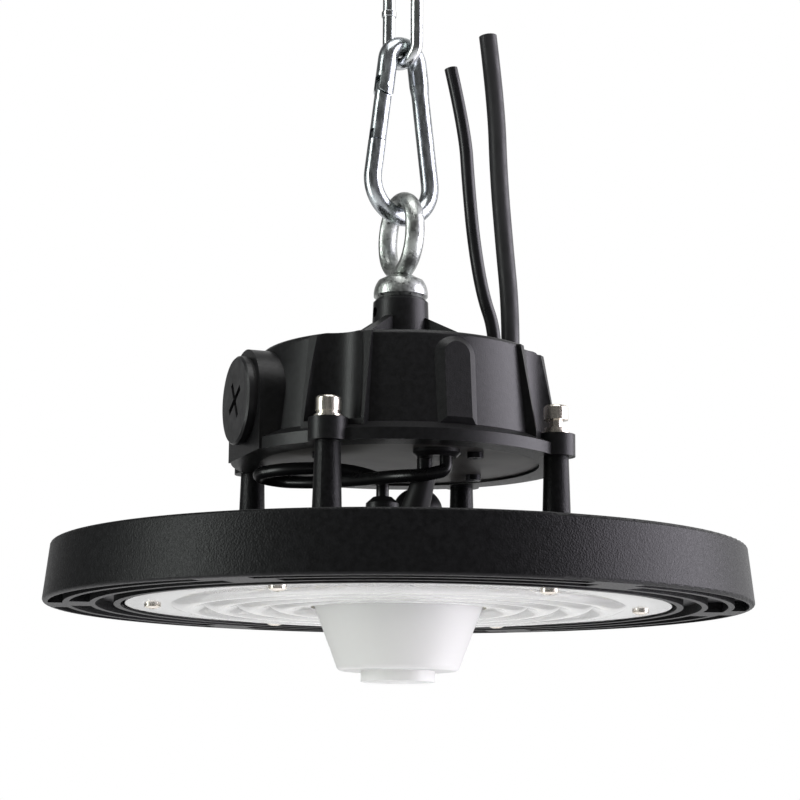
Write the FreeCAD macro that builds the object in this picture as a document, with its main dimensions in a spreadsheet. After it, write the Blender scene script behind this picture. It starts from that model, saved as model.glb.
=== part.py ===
import FreeCAD, Part

import math
import os
from types import SimpleNamespace

import Sketcher
from FreeCAD import Placement, Rotation, Vector

# High bay light on a snap hook and chain.  Millimetres, +Z up.  The origin is the point under
# the top bow of the upper link, where the light is hung, and levels are worked out from it
# downwards.  The round driver housing stands on four posts over the heat sink.

SIZES = (
    # chain
    ("link_wire", 4.9, "diameter of the links' wire"),
    ("link_inside", 38.5, "inside length of a link"),
    ("link_width", 19.0, "outside width of a link"),
    ("link_turn", 119.0, "angle of the lower link's plane, seen from above"),
    ("weld_bead", 0.45, "how far the weld bead stands proud of the wire"),
    ("running_gap", 0.3, "play where one hanging piece rests in another"),
    # snap hook
    ("hook_wire", 6.9, "diameter of the hook's arms"),
    ("bow_wire", 7.7, "diameter of the hook's forged top bow"),
    ("hook_inside", 61.0, "inside length of the hook"),
    ("bow_radius", 7.05, "centreline radius of the narrow top bow"),
    ("bend_radius", 13.6, "centreline radius of the wide bottom bend"),
    ("hook_turn", 15.0, "angle of the hook's plane, seen from above"),
    ("bow_reach", 8.5, "length of forged bow below its bend, on each arm"),
    ("hinge_drop", 11.8, "gate rivet below the bend, along the arm"),
    ("gate_length", 22.4, "gate from its rivet to its free end"),
    ("gate_thin", 0.2, "how much thinner the gate is than the arm"),
    ("gate_gap", 0.4, "play round the gate's ends"),
    ("tongue_thickness", 3.0, "gate's tongue between the hook's cheeks"),
    ("rivet_diameter", 2.4, "gate rivet"),
    ("nose_length", 3.0, "hook's nose inside the gate's fork"),
    ("nose_thickness", 2.0, "thickness of that nose"),
    ("spring_diameter", 2.2, "outside of the gate spring"),
    ("spring_wire", 0.45, "wire of the gate spring"),
    ("spring_length", 4.5, "length of the gate spring"),
    # eye bolt
    ("eye_hole", 23.0, "hole of the eye"),
    ("eye_section", 5.6, "eye's section, measured outwards"),
    ("eye_thickness", 7.2, "eye's section, measured along its hole"),
    ("eye_rise", 25.0, "centre of the eye above its collar's seat"),
    ("collar_diameter", 20.6, "collar of the eye bolt"),
    ("collar_height", 9.2, "height of that collar"),
    ("shank_diameter", 8.0, "threaded shank of the eye bolt"),
    ("shank_length", 17.0, "length of that shank"),
    ("lock_screw_diameter", 4.0, "grub screw that locks the shank"),
    ("lock_screw_drop", 5.6, "grub screw below the top of the neck"),
    # driver housing
    ("neck_diameter", 20.9, "neck under the eye bolt, at its top"),
    ("neck_foot_diameter", 22.6, "neck where it meets the housing"),
    ("neck_height", 22.6, "neck above the housing"),
    ("housing_height", 41.2, "housing, from its top to its flange's underside"),
    ("crown_radius", 53.0, "housing wall at its top"),
    ("foot_radius", 56.4, "housing wall above its flange"),
    ("crown_round", 2.0, "rounding of the housing's top edge"),
    ("roof_thickness", 4.0, "top of the housing"),
    ("housing_wall", 2.8, "side wall of the housing"),
    ("flange_radius", 63.0, "flange of the housing"),
    ("flange_thickness", 4.2, "thickness of that flange at its edge"),
    ("flange_crest", 7.4, "height of the same flange where it meets the wall"),
    ("ear_radius", 7.0, "round ear about each post screw"),
    ("ear_height", 8.1, "height of an ear"),
    ("post_circle", 62.0, "radius of the circle on which the posts stand"),
    ("pocket_radius", 11.6, "screw pocket in the housing's wall, at its foot"),
    ("pocket_top_radius", 12.8, "same pocket at the housing's top"),
    ("buttress_width", 24.5, "buttress about each screw pocket"),
    ("buttress_foot", 58.8, "how far out a buttress stands at its foot"),
    ("gusset_thickness", 3.2, "ribs that prop the neck"),
    ("gusset_reach", 40.0, "how far out those ribs run"),
    ("gusset_height", 14.9, "height of those ribs against the neck"),
    ("arch_width", 9.6, "flat face of the raised arch on the front of the housing"),
    ("arch_reach", 58.2, "how far out the arch stands"),
    ("arch_drop", 4.0, "top of the arch below the housing's top"),
    ("boss_reach", 61.0, "flat face of the side boss"),
    ("boss_radius", 19.0, "rounded head and half width of the side boss"),
    # side plug
    ("plug_diameter", 32.6, "head of the side plug"),
    ("plug_thread_diameter", 25.0, "threaded part of the side plug"),
    ("plug_rise", 20.3, "axis of the plug above the flange's underside"),
    ("plug_head", 2.6, "thickness of the plug's head"),
    ("plug_stand", 1.2, "seal between the plug's head and the boss"),
    ("plug_thread_length", 11.0, "plug inside the boss"),
    ("slot_length", 15.0, "crossed slots in the plug's head"),
    ("slot_width", 2.4, "width of those slots"),
    ("slot_depth", 2.0, "depth of those slots"),
    # base cover and driver
    ("cover_radius", 52.0, "base cover"),
    ("cover_thickness", 2.0, "thickness of the base cover"),
    ("cover_recess", 0.8, "base cover above the flange's underside"),
    ("cover_play", 0.2, "play round the base cover"),
    ("seal_thickness", 1.0, "gasket over the base cover"),
    ("cover_screw_circle", 39.5, "circle of the base cover's screws"),
    ("cover_screw_diameter", 3.0, "base cover's screws"),
    ("board_radius", 34.6, "driver board"),
    ("board_thickness", 1.6, "driver board and sensor board"),
    ("board_drop", 22.0, "driver board below the housing's roof"),
    # screws on the posts
    ("screw_diameter", 5.0, "screws on the posts"),
    ("screw_head_diameter", 9.0, "their cap heads"),
    ("screw_head_height", 5.4, "height of those heads"),
    ("screw_reach", 20.0, "shank under the head"),
    ("proud_lift", 3.0, "how far one screw still stands out"),
    ("washer_thickness", 1.1, "flat washers"),
    ("washer_diameter", 10.0, "outside of the flat washers"),
    ("lock_washer_thickness", 1.3, "spring washers"),
    ("lock_washer_diameter", 8.4, "outside of the spring washers"),
    # heat sink
    ("stand_height", 53.4, "housing's underside above the heat sink's foot"),
    ("sink_radius", 130.0, "heat sink at its foot"),
    ("sink_top_radius", 127.9, "heat sink at the top of its band"),
    ("sink_height", 21.4, "height of that band"),
    ("rim_thickness", 4.4, "band at its top"),
    ("edge_round", 1.2, "rounding of the band's edges"),
    ("lip_width", 2.0, "outer lip under the band"),
    ("ridge_width", 2.2, "each ring under the heat sink"),
    ("outer_ridge", 122.7, "outer ring, outside radius"),
    ("middle_ridge", 113.2, "middle ring, outside radius"),
    ("inner_ridge", 104.4, "inner ring, outside radius"),
    ("channel_depth", 3.6, "channels between the rings"),
    ("bridge_count", 6, "cast bridges across the channels"),
    ("bridge_start", 42.5, "angle of the first bridge"),
    ("bridge_angle", 9.0, "length of a bridge, as an angle"),
    ("bridge_lag", 3.0, "how far the inner bridges lag behind the outer ones"),
    ("plate_thickness", 3.4, "heat sink's plate over the light board"),
    ("fin_count", 48, "radial fins"),
    ("fin_thickness", 1.7, "thickness of a fin"),
    ("fin_inner_radius", 26.0, "where the fins start"),
    ("hub_radius", 34.0, "solid hub among the fins"),
    ("crown_height", 28.4, "hub and inner fins above the foot"),
    ("fin_knee", 66.0, "radius at which the fins start to fall"),
    ("fin_outer_height", 19.6, "fins at the band, above the foot"),
    ("post_foot_diameter", 10.4, "posts at their foot"),
    ("post_head_diameter", 9.1, "posts at their head"),
    ("post_root_radius", 8.6, "boss under each post"),
    ("post_fillet", 2.6, "flare of a post at its foot"),
    # light board, lens and sensor
    ("led_board_radius", 84.0, "light board"),
    ("led_board_thickness", 1.6, "thickness of the light board"),
    ("board_depth", 8.0, "heat sink's inner floor above its foot"),
    ("lens_radius", 100.3, "lens"),
    ("lens_recess_radius", 102.0, "recess that holds the lens"),
    ("lens_seat", 3.8, "seat of the lens above the foot"),
    ("lens_seat_radius", 86.5, "inner edge of that seat"),
    ("lens_thickness", 2.5, "flange of the lens"),
    ("lens_skin", 1.6, "lens between its rings"),
    ("lens_gasket_width", 6.0, "gasket behind the lens"),
    ("lens_gasket_thickness", 0.8, "thickness of that gasket"),
    ("lens_ring_start", 36.0, "inside of the lens's first optical ring"),
    ("lens_ring_pitch", 12.0, "width of each optical ring"),
    ("lens_ring_bend", 10.9, "curve of each optical ring"),
    ("lens_screw_circle", 90.4, "circle of the lens screws"),
    ("lens_screw_diameter", 3.0, "lens screws"),
    ("lens_screw_head", 6.2, "heads of the lens screws"),
    ("chip_size", 3.0, "side of a light chip"),
    ("chip_height", 0.8, "height of a light chip"),
    ("sensor_hole", 32.5, "hole of the lens round the sensor"),
    ("sensor_radius", 31.6, "sensor cover at its top"),
    ("sensor_foot_radius", 22.2, "sensor cover at its foot"),
    ("sensor_depth", 22.8, "sensor cover below the heat sink's foot"),
    ("sensor_nose_radius", 13.7, "round nose under the sensor cover"),
    ("sensor_nose", 4.0, "length of that nose"),
    ("sensor_wall", 1.8, "wall of the sensor cover"),
    ("sensor_round", 1.8, "rounding at the sensor cover's foot"),
    ("sensor_board_radius", 20.0, "sensor board"),
    # cable entries
    ("mains_diameter", 7.1, "mains cable"),
    ("control_diameter", 5.3, "control cable"),
    ("gland_height", 5.0, "cable glands on top"),
    ("mains_gland_radius", 4.8, "gland of the mains cable"),
    ("control_gland_radius", 4.0, "gland of the control cable"),
    ("lead_gland_radius", 8.6, "gland under the base cover"),
    ("lead_gland_height", 2.8, "height of that gland"),
    ("loop_lead_diameter", 4.7, "lead that loops round to the light board"),
    ("feed_lead_diameter", 5.6, "lead to the sensor"),
    ("lamp_gland_height", 11.6, "gland of the looped lead"),
    ("boot_height", 17.0, "leaning boot of the sensor's lead"),
    ("boot_radius", 5.8, "that boot at its foot"),
    ("boot_top_radius", 4.2, "that boot at its top"),
    ("breather_radius", 10.6, "domed breather"),
    ("breather_height", 18.0, "height of the breather"),
    ("mains_across", 43.5, "mains cable from the axis, along X"),
    ("mains_along", -4.9, "mains cable from the axis, along Y"),
    ("control_across", 42.6, "control cable from the axis, along X"),
    ("control_along", 7.8, "control cable from the axis, along Y"),
    ("lead_gland_across", 0.0, "gland under the base cover, along X"),
    ("lead_gland_along", -36.6, "gland under the base cover, along Y"),
    ("lamp_gland_across", -10.1, "gland of the looped lead, along X"),
    ("lamp_gland_along", -8.9, "gland of the looped lead, along Y"),
    ("boot_across", -6.0, "boot of the sensor's lead, along X"),
    ("boot_along", -26.6, "boot of the sensor's lead, along Y"),
    ("feed_across", -2.6, "sensor's lead over its boot, along X"),
    ("feed_along", -31.6, "sensor's lead over its boot, along Y"),
    ("breather_across", 9.3, "breather, along X"),
    ("breather_along", 5.0, "breather, along Y"),
)

# fixed small allowances, in millimetres or degrees
THREAD_PLAY = 0.05
LENS_SCREW_GRIP = 5.0
COVER_SCREW_GRIP = 7.0
COVER_SCREW_ANGLE = 22.5
HEAD_HEIGHT = 1.6
CHIP_PITCH = 8.5
RING_COUNT = 4
BOARD_HOLE = 6.0
ARCH_BEVEL = 50
ARCH_LIFT = 2.0
PLUG_EDGE = 0.7
EYE_CREST = 0.36
SCREW_SHOULDER = 1.3
SPRING_TURNS = 4

doc = FreeCAD.newDocument("HighBayLight")
sheet = doc.addObject("Spreadsheet::Sheet", "Sizes")


def to_size(value):
    """A plain number as a Size, so that both can be mixed."""
    if isinstance(value, Size):
        return value
    return Size("({!r})".format(float(value)), float(value))


class Size:
    """A number together with the sheet expression that gives it."""

    def __init__(self, text, value):
        self.text = text
        self.value = value

    def __add__(self, other):
        other = to_size(other)
        return Size("({} + {})".format(self.text, other.text), self.value + other.value)

    def __sub__(self, other):
        other = to_size(other)
        return Size("({} - {})".format(self.text, other.text), self.value - other.value)

    def __mul__(self, other):
        other = to_size(other)
        return Size("({} * {})".format(self.text, other.text), self.value * other.value)

    def __truediv__(self, other):
        other = to_size(other)
        return Size("({} / {})".format(self.text, other.text), self.value / other.value)

    def __neg__(self):
        return to_size(-1) * self

    def __radd__(self, other):
        return to_size(other) + self

    def __rsub__(self, other):
        return to_size(other) - self

    def __rmul__(self, other):
        return to_size(other) * self


def fill_sheet():
    """Write the table of sizes and return each one by its name."""
    for row, (name, value, note) in enumerate(SIZES, start=1):
        sheet.set("A{}".format(row), note)
        sheet.set("B{}".format(row), str(value))
        sheet.setAlias("B{}".format(row), name)
    doc.recompute()
    read = {name: Size("Sizes." + name, float(sheet.get(name))) for name, _, _ in SIZES}
    return SimpleNamespace(**read)


d = fill_sheet()
finished = {}

# ---------------------------------------------------------------- levels, from the top down
upper_floor = -d.link_inside
lower_roof = upper_floor + d.running_gap
lower_floor = lower_roof - d.link_inside
hook_roof = lower_floor + d.running_gap
hook_floor = hook_roof - d.hook_inside
eye_roof = hook_floor + d.running_gap
eye_centre = eye_roof - d.eye_hole / 2
neck_top = eye_centre - d.eye_rise
housing_top = neck_top - d.neck_height
flange_foot = housing_top - d.housing_height
flange_top = flange_foot + d.flange_thickness
wall_foot = flange_foot + d.flange_crest
ear_top = flange_foot + d.ear_height
cover_foot = flange_foot + d.cover_recess
cover_top = cover_foot + d.cover_thickness
ledge = cover_top + d.seal_thickness
sink_foot = flange_foot - d.stand_height
sink_top = sink_foot + d.sink_height
crown = sink_foot + d.crown_height
inner_floor = sink_foot + d.board_depth
lens_seat = sink_foot + d.lens_seat
plug_axis = flange_foot + d.plug_rise
lock_axis = neck_top - d.lock_screw_drop
screw_seat = ear_top + d.washer_thickness + d.lock_washer_thickness
screw_hole = d.screw_diameter / 2 + THREAD_PLAY
ear_hole = d.screw_diameter / 2 + 5 * THREAD_PLAY
post_hole_floor = screw_seat - d.screw_reach - 1
lens_screw_hole = d.lens_screw_diameter / 2 + THREAD_PLAY
cover_screw_hole = d.cover_screw_diameter / 2 + THREAD_PLAY

# places of the cable entries, as (x, y)
MAINS_SPOT = (d.mains_across, d.mains_along)
CONTROL_SPOT = (d.control_across, d.control_along)
LEAD_GLAND = (d.lead_gland_across, d.lead_gland_along)
LAMP_GLAND = (d.lamp_gland_across, d.lamp_gland_along)
SENSOR_BOOT = (d.boot_across, d.boot_along)
FEED_SPOT = (d.feed_across, d.feed_along)
BREATHER = (d.breather_across, d.breather_along)


# ---------------------------------------------------------------- drawing helpers
def bind(thing, where, size):
    """Tie one property of a document object to the sheet."""
    size = to_size(size)
    if "Sizes." in size.text:
        thing.setExpression(where, size.text)
    return size.value


def new_body(label):
    body = doc.addObject("PartDesign::Body", label)
    body.Label = label
    return body


def origin_part(body, role):
    """One of the body's own planes or axes, such as XY_Plane."""
    return [item for item in body.Origin.OriginFeatures if item.Role == role][0]


def sketch_on(body, name, plane, offset=0, turn=0):
    """A sketch on one of the body's planes, moved along its normal and turned about Z."""
    sketch = body.newObject("Sketcher::SketchObject", name)
    sketch.AttachmentSupport = (origin_part(body, plane), [""])
    sketch.MapMode = "FlatFace"
    axis = Vector(0, 0, 1) if plane == "XY_Plane" else Vector(0, 1, 0)
    angle = to_size(turn)
    shift = to_size(offset)
    normal = Rotation(axis, angle.value).multVec(Vector(0, 0, shift.value))
    sketch.AttachmentOffset = Placement(normal, Rotation(axis, angle.value))
    if plane == "XY_Plane" or angle.value == 0:
        bind(sketch, "AttachmentOffset.Base.z", shift)
    return sketch


def fix(sketch, kind, index, end, size):
    """Hold one point at a signed distance from the sketch's origin."""
    size = to_size(size)
    row = sketch.addConstraint(Sketcher.Constraint(kind, -1, 1, index, end, size.value))
    bind(sketch, "Constraints[{}]".format(row), size)


def arc_middle(start, end, radius):
    """Middle of the arc from start to end; a positive radius bends it to the right."""
    chord = Vector(end[0] - start[0], end[1] - start[1], 0)
    middle = Vector((start[0] + end[0]) / 2, (start[1] + end[1]) / 2, 0)
    sag = abs(radius) - math.sqrt(max(radius ** 2 - (chord.Length / 2) ** 2, 0))
    side = Vector(chord.y, -chord.x, 0).normalize()
    return middle + side * math.copysign(sag, radius)


def outline(sketch, corners):
    """A closed outline.  A corner is (x, y), or (x, y, radius) where an arc starts."""
    points = [[to_size(value) for value in corner] for corner in corners]
    base = sketch.GeometryCount
    flat = [(point[0].value, point[1].value) for point in points]
    for i, point in enumerate(points):
        start = flat[i]
        end = flat[(i + 1) % len(points)]
        ends = (Vector(start[0], start[1], 0), Vector(end[0], end[1], 0))
        if len(point) == 3:
            bow = Part.Arc(ends[0], arc_middle(start, end, point[2].value), ends[1])
            sketch.addGeometry(bow, False)
        else:
            sketch.addGeometry(Part.LineSegment(*ends), False)
    first = []
    for i, point in enumerate(points):
        place = Vector(flat[i][0], flat[i][1], 0)
        near = sketch.getPoint(base + i, 1).distanceToPoint(place) < 1e-6
        first.append(1 if near else 2)
    for i, point in enumerate(points):
        after = (i + 1) % len(points)
        sketch.addConstraint(Sketcher.Constraint(
            "Coincident", base + i, 3 - first[i], base + after, first[after]))
    for i, point in enumerate(points):
        fix(sketch, "DistanceX", base + i, first[i], point[0])
        fix(sketch, "DistanceY", base + i, first[i], point[1])
        if len(point) == 3:
            bend = Size(point[2].text, point[2].value)
            if bend.value < 0:
                bend = -bend
            row = sketch.addConstraint(Sketcher.Constraint("Radius", base + i, bend.value))
            bind(sketch, "Constraints[{}]".format(row), bend)


def round_hole(sketch, x, y, radius):
    """A circle, placed from the sketch's origin."""
    x, y, radius = to_size(x), to_size(y), to_size(radius)
    index = sketch.addGeometry(
        Part.Circle(Vector(x.value, y.value, 0), Vector(0, 0, 1), radius.value), False)
    fix(sketch, "DistanceX", index, 3, x)
    fix(sketch, "DistanceY", index, 3, y)
    row = sketch.addConstraint(Sketcher.Constraint("Radius", index, radius.value))
    bind(sketch, "Constraints[{}]".format(row), radius)


def axis_line(sketch, start, end):
    """A construction line to turn about; it is the sketch's first axis."""
    start = [to_size(value) for value in start]
    end = [to_size(value) for value in end]
    index = sketch.addGeometry(Part.LineSegment(
        Vector(start[0].value, start[1].value, 0), Vector(end[0].value, end[1].value, 0)), True)
    for point, spot in ((1, start), (2, end)):
        fix(sketch, "DistanceX", index, point, spot[0])
        fix(sketch, "DistanceY", index, point, spot[1])


def turn_about(body, sketch, kind="PartDesign::Revolution", axis="V_Axis", angle=360, middle=False):
    """Turn a profile about an axis, to add material or, as a Groove, to cut it."""
    feature = body.newObject(kind, sketch.Name + "_turned")
    feature.Profile = sketch
    feature.ReferenceAxis = (sketch, [axis])
    feature.Midplane = middle
    feature.Angle = to_size(angle).value
    bind(feature, "Angle", angle)
    sketch.Visibility = False
    body.Tip = feature
    return feature


def push(body, sketch, length, kind="PartDesign::Pad", back=False, middle=False, taper=0):
    """Pad or pocket a sketch by a length."""
    feature = body.newObject(kind, sketch.Name + "_pushed")
    feature.Profile = sketch
    feature.Length = to_size(length).value
    bind(feature, "Length", length)
    feature.Reversed = back
    feature.Midplane = middle
    if taper:
        feature.TaperAngle = taper
    sketch.Visibility = False
    body.Tip = feature
    return feature


def around(body, features, count, axis="Z_Axis"):
    """Repeat features round the body's axis."""
    ring = body.newObject("PartDesign::PolarPattern", features[0].Name + "_ring")
    ring.Originals = features
    ring.Axis = (origin_part(body, axis), [""])
    ring.Angle = 360
    ring.Occurrences = int(to_size(count).value)
    bind(ring, "Occurrences", count)
    body.Tip = ring
    return ring


def place(thing, x=0, y=0, z=0):
    """Put a finished body at a place that follows the sheet."""
    thing.Placement.Base = Vector(to_size(x).value, to_size(y).value, to_size(z).value)
    for axis, size in (("x", x), ("y", y), ("z", z)):
        bind(thing, "Placement.Base." + axis, size)


def finish(label, thing):
    finished[label] = thing
    return thing


def turned_piece(label, corners, x=0, y=0, z=0):
    """A piece turned about its own upright axis and set in its place."""
    body = new_body(label)
    profile = sketch_on(body, label + "_profile", "XZ_Plane")
    outline(profile, corners)
    turn_about(body, profile)
    place(body, x, y, z)
    return finish(label, body)


def solid_piece(label, shape):
    """A piece whose shape is worked out with Part's own functions."""
    feature = doc.addObject("Part::Feature", label)
    feature.Label = label
    feature.Shape = shape
    return finish(label, feature)


def diagonal_spots(radius, count=4, start=45.0):
    """Points evenly spaced round the Z axis."""
    turns = [math.radians(start + 360.0 * i / count) for i in range(count)]
    return [Vector(radius * math.cos(turn), radius * math.sin(turn), 0) for turn in turns]


def copies(shape, spots):
    """Separate copies of one shape, moved to the given spots."""
    group = []
    for spot in spots:
        item = shape.copy()
        item.translate(spot)
        group.append(item)
    return Part.makeCompound(group)


def smooth_path(points, share=0.45):
    """Straight runs joined by tangent arcs, each as large as its two runs allow."""
    edges = []
    start = points[0]
    radii = []
    for before, corner, after in zip(points, points[1:], points[2:]):
        into = (corner - before)
        out = (after - corner)
        run = min(into.Length, out.Length)
        turn = into.getAngle(out)
        radius = share * run / math.tan(turn / 2)
        radii.append(radius)
        reach = share * run
        arc_start = corner - into.normalize() * reach
        arc_end = corner + out.normalize() * reach
        bisector = (arc_start + arc_end) * 0.5 - corner
        centre_gap = radius / math.cos(turn / 2)
        middle = corner + bisector.normalize() * (centre_gap - radius)
        edges.append(Part.LineSegment(start, arc_start).toShape())
        edges.append(Part.Arc(arc_start, middle, arc_end).toShape())
        start = arc_end
    edges.append(Part.LineSegment(start, points[-1]).toShape())
    return Part.Wire(edges), radii


def tube(label, points, diameter):
    """A round lead along a route, with its radii and volume printed."""
    path, radii = smooth_path(points)
    first = (points[1] - points[0]).normalize()
    ring = Part.Wire(Part.makeCircle(diameter / 2, points[0], first))
    shape = path.makePipeShell([ring], True, False)
    expected = math.pi * diameter ** 2 / 4 * path.Length
    print("{}: length {:.1f}, radii {}, volume {:.4f} of expected".format(
        label, path.Length, [round(radius, 1) for radius in radii], shape.Volume / expected))
    return solid_piece(label, shape)


# ---------------------------------------------------------------- heat sink and light
def make_heat_sink():
    """One casting: ringed underside, plate, band, radial fins, hub and four posts."""
    body = new_body("heat_sink")
    channel = sink_foot + d.channel_depth
    plate_top = inner_floor + d.plate_thickness
    band_inside = d.sink_top_radius - d.rim_thickness
    profile = sketch_on(body, "sink_profile", "XZ_Plane")
    outline(profile, (
        (0, inner_floor),
        (d.lens_seat_radius, inner_floor),
        (d.lens_seat_radius, lens_seat),
        (d.lens_recess_radius, lens_seat),
        (d.lens_recess_radius, sink_foot),
        (d.inner_ridge, sink_foot),
        (d.inner_ridge, channel),
        (d.middle_ridge - d.ridge_width, channel),
        (d.middle_ridge - d.ridge_width, sink_foot),
        (d.middle_ridge, sink_foot),
        (d.middle_ridge, channel),
        (d.outer_ridge - d.ridge_width, channel),
        (d.outer_ridge - d.ridge_width, sink_foot),
        (d.outer_ridge, sink_foot),
        (d.outer_ridge, channel),
        (d.sink_radius - d.lip_width, channel),
        (d.sink_radius - d.lip_width, sink_foot),
        (d.sink_radius - d.edge_round, sink_foot, d.edge_round),
        (d.sink_radius, sink_foot + d.edge_round),
        (d.sink_top_radius, sink_top - d.edge_round, d.edge_round),
        (d.sink_top_radius - d.edge_round, sink_top),
        (band_inside, sink_top),
        (band_inside, plate_top),
        (d.hub_radius, plate_top),
        (d.hub_radius, crown),
        (0, crown),
    ))
    turn_about(body, profile)

    fin = sketch_on(body, "fin", "XZ_Plane")
    outline(fin, (
        (d.fin_inner_radius, inner_floor + d.plate_thickness / 2),
        (band_inside + d.rim_thickness / 4, inner_floor + d.plate_thickness / 2),
        (band_inside + d.rim_thickness / 4, sink_foot + d.fin_outer_height),
        (d.fin_knee, crown),
        (d.fin_inner_radius, crown),
    ))
    around(body, [push(body, fin, d.fin_thickness, middle=True)], d.fin_count)

    post = sketch_on(body, "post", "XZ_Plane", turn=45)
    axis_line(post, (d.post_circle, sink_foot), (d.post_circle, flange_foot))
    root_top = crown - d.edge_round
    post_side = d.post_circle + d.post_foot_diameter / 2
    outline(post, (
        (d.post_circle, inner_floor + d.plate_thickness / 2),
        (d.post_circle + d.post_root_radius, inner_floor + d.plate_thickness / 2),
        (d.post_circle + d.post_root_radius, root_top),
        (post_side + d.post_fillet, root_top, -d.post_fillet),
        (post_side, root_top + d.post_fillet),
        (d.post_circle + d.post_head_diameter / 2, flange_foot),
        (d.post_circle + screw_hole, flange_foot),
        (d.post_circle + screw_hole, post_hole_floor),
        (d.post_circle, post_hole_floor),
    ))
    around(body, [turn_about(body, post, axis="Axis0")], 4)

    bridges = []
    for name, inside, outside, lag in (
            ("outer_bridge", d.outer_ridge, d.sink_radius - d.lip_width, 0),
            ("inner_bridge", d.middle_ridge, d.outer_ridge - d.ridge_width, d.bridge_lag)):
        bridge = sketch_on(body, name, "XZ_Plane", turn=d.bridge_start + lag)
        grip = d.ridge_width / 4
        outline(bridge, (
            (inside - grip, sink_foot),
            (outside + grip, sink_foot),
            (outside + grip, channel + grip),
            (inside - grip, channel + grip),
        ))
        bridges.append(turn_about(body, bridge, angle=d.bridge_angle, middle=True))
    around(body, bridges, d.bridge_count)

    tapped = sketch_on(body, "lens_holes", "XY_Plane", offset=lens_seat, turn=d.bridge_start)
    round_hole(tapped, d.lens_screw_circle, 0, lens_screw_hole)
    drilled = push(body, tapped, LENS_SCREW_GRIP, kind="PartDesign::Pocket", back=True)
    around(body, [drilled], d.bridge_count)

    wires = sketch_on(body, "wire_holes", "XY_Plane", offset=crown)
    round_hole(wires, *LAMP_GLAND, d.loop_lead_diameter / 2)
    round_hole(wires, *SENSOR_BOOT, d.feed_lead_diameter / 2)
    push(body, wires, d.crown_height, kind="PartDesign::Pocket")
    return finish("heat_sink", body)


def make_light():
    """Light board with its chips, and the lens with its gasket and screws."""
    board_foot = inner_floor - d.led_board_thickness
    turned_piece("led_board", (
        (BOARD_HOLE, 0),
        (d.led_board_radius, 0),
        (d.led_board_radius, d.led_board_thickness),
        (BOARD_HOLE, d.led_board_thickness),
    ), z=board_foot)

    chip = Part.makeBox(
        d.chip_size.value, d.chip_size.value, d.chip_height.value,
        Vector(-d.chip_size.value / 2, -d.chip_size.value / 2, -d.chip_height.value))
    spots = []
    for ring in range(RING_COUNT):
        radius = (d.lens_ring_start + (ring + 0.5) * d.lens_ring_pitch).value
        count = int(2 * math.pi * radius / CHIP_PITCH)
        spots += [spot + Vector(0, 0, board_foot.value) for spot in diagonal_spots(radius, count, 0)]
    solid_piece("led_chips", copies(chip, spots))

    lens_top = lens_seat - d.lens_gasket_thickness
    lens_foot = lens_top - d.lens_thickness
    lens = new_body("lens")
    profile = sketch_on(lens, "lens_profile", "XZ_Plane")
    rings = [(d.lens_ring_start + i * d.lens_ring_pitch, lens_foot, d.lens_ring_bend)
             for i in range(RING_COUNT)]
    outline(profile, (
        (d.sensor_hole, lens_foot),
        *rings,
        (d.lens_ring_start + RING_COUNT * d.lens_ring_pitch, lens_foot),
        (d.lens_radius, lens_foot),
        (d.lens_radius, lens_top),
        (d.lens_seat_radius, lens_top),
        (d.lens_seat_radius, lens_foot + d.lens_skin),
        (d.sensor_hole, lens_foot + d.lens_skin),
    ))
    turn_about(lens, profile)
    holes = sketch_on(lens, "lens_screw_holes", "XY_Plane", offset=lens_top, turn=d.bridge_start)
    round_hole(holes, d.lens_screw_circle, 0, lens_screw_hole)
    drilled = push(lens, holes, 2 * d.lens_thickness, kind="PartDesign::Pocket")
    around(lens, [drilled], d.bridge_count)
    finish("lens", lens)

    turned_piece("lens_gasket", (
        (d.lens_radius - d.lens_gasket_width, 0),
        (d.lens_radius, 0),
        (d.lens_radius, d.lens_gasket_thickness),
        (d.lens_radius - d.lens_gasket_width, d.lens_gasket_thickness),
    ), z=lens_top)

    screw = Part.makeCylinder(
        d.lens_screw_diameter.value / 2,
        (d.lens_thickness + d.lens_gasket_thickness).value + LENS_SCREW_GRIP - 0.5)
    head = Part.makeCylinder(
        d.lens_screw_head.value / 2, HEAD_HEIGHT, Vector(0, 0, -HEAD_HEIGHT))
    top = Part.makeSphere(d.lens_screw_head.value, Vector(0, 0, d.lens_screw_head.value - HEAD_HEIGHT))
    driver = Part.makeBox(2.6, 0.7, 0.9, Vector(-1.3, -0.35, -HEAD_HEIGHT - 0.1))
    turned_driver = driver.copy()
    turned_driver.rotate(Vector(), Vector(0, 0, 1), 90)
    shape = screw.fuse(head.common(top)).cut(driver).cut(turned_driver).removeSplitter()
    spots = diagonal_spots(
        d.lens_screw_circle.value, int(d.bridge_count.value), d.bridge_start.value)
    solid_piece("lens_screws", copies(shape, [spot + Vector(0, 0, lens_foot.value) for spot in spots]))
    return lens_foot


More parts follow.
